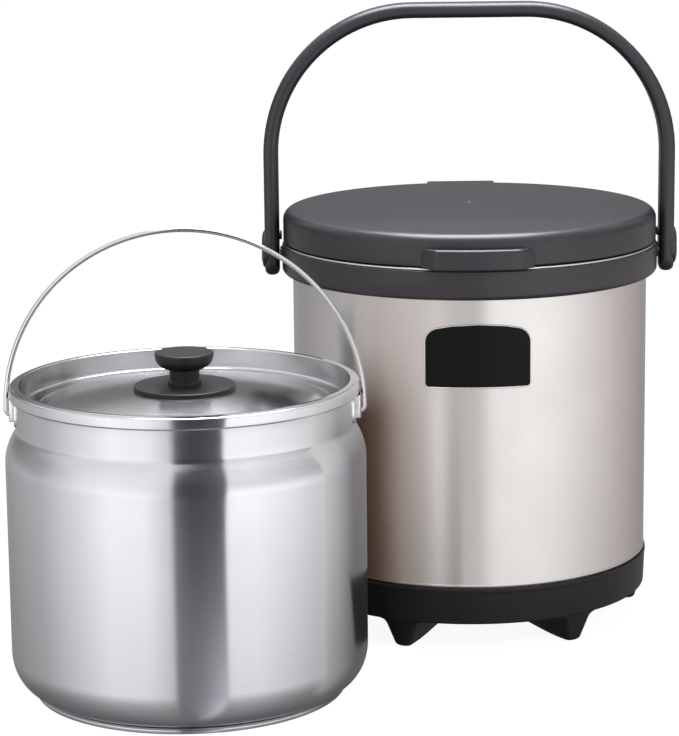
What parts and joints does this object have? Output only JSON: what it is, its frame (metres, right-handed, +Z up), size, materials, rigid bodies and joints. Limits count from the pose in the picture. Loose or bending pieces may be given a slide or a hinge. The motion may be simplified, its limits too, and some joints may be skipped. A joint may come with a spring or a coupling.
{
  "type": "thermal cooker",
  "caption": "Vacuum-walled food container with a hinged lid and swinging carry handle, beside its lidded steel cooking pot with a wire bail.",
  "frame": {"origin": "on the container's vertical axis, at the level of the surface that its feet stand on", "axes": "+Z up; -Y to the front, where the lift tab is; +Y to the lid's hinge; the carry handle's pivots lie along X"},
  "size_m": [0.4578, 0.45, 0.4336],
  "materials": {
    "charcoal_plastic": "fine matt moulded texture, charcoal",
    "black_plastic": "satin black moulding",
    "liner_plastic": "smooth grey moulding",
    "body_steel": "warm satin stainless steel under clear lacquer",
    "inner_steel": "polished stainless steel",
    "pot_steel": "stainless steel brushed round the pot",
    "wire_steel": "bright drawn stainless wire",
    "pin_steel": "plain turned steel",
    "badge_black": "plain black plate without any marking",
    "foil": "thin reflecting copper foil",
    "foam": "light insulating foam",
    "soft_ring": "soft rubber"
  },
  "bodies": {
    "container": {"base": "charcoal_plastic", "base_cushion": "soft_ring", "outer_shell": "body_steel", "inner_wall": "inner_steel", "inner_floor": "inner_steel", "mouth_ring": "inner_steel", "radiation_foil": "foil", "vacuum_port_cap": "pin_steel", "collar": "charcoal_plastic", "badge_plate": "badge_black", "hinge_pin": "pin_steel", "handle_pivot_pins": "pin_steel"},
    "lid": {"lid_cover": "charcoal_plastic", "lid_liner": "liner_plastic", "lid_insulation": "foam"},
    "handle": {"carry_handle": "charcoal_plastic", "handle_caps": "charcoal_plastic"},
    "pot": {"pot_body": "pot_steel", "pot_base_disc": "pot_steel", "bail_bracket_left": "wire_steel", "bail_bracket_right": "wire_steel", "bracket_plugs": "black_plastic"},
    "bail": {"pot_bail": "wire_steel"},
    "pot_cover": {"pot_lid": "pot_steel", "knob_disc": "black_plastic", "knob": "black_plastic", "knob_screw": "pin_steel"}
  },
  "joints": [
    {"name": "lid_hinge", "type": "hinge", "parent": "container", "child": "lid", "pos_m": [0, 0.1398, 0.264], "axis": [-1, 0, 0], "range_deg": [0, 90]},
    {"name": "handle_swing", "type": "hinge", "parent": "container", "child": "handle", "pos_m": [0, 0, 0.258], "axis": [-1, 0, 0], "range_deg": [0, 120]},
    {"name": "pot_lift", "type": "slide", "parent": "container", "child": "pot", "axis": [0, 0, 1], "range_m": [0, 0.25]},
    {"name": "bail_swing", "type": "hinge", "parent": "pot", "child": "bail", "pos_m": [-0.19321, -0.18659, 0.1845], "axis": [1, 0, 0], "range_deg": [-100, 100]},
    {"name": "pot_cover_lift", "type": "slide", "parent": "pot", "child": "pot_cover", "axis": [0, 0, 1], "range_m": [0, 0.007]}
  ],
  "couplings": [
    {"joint": "handle_swing", "follows": "lid_hinge", "ratio": 1.3333}
  ]
}
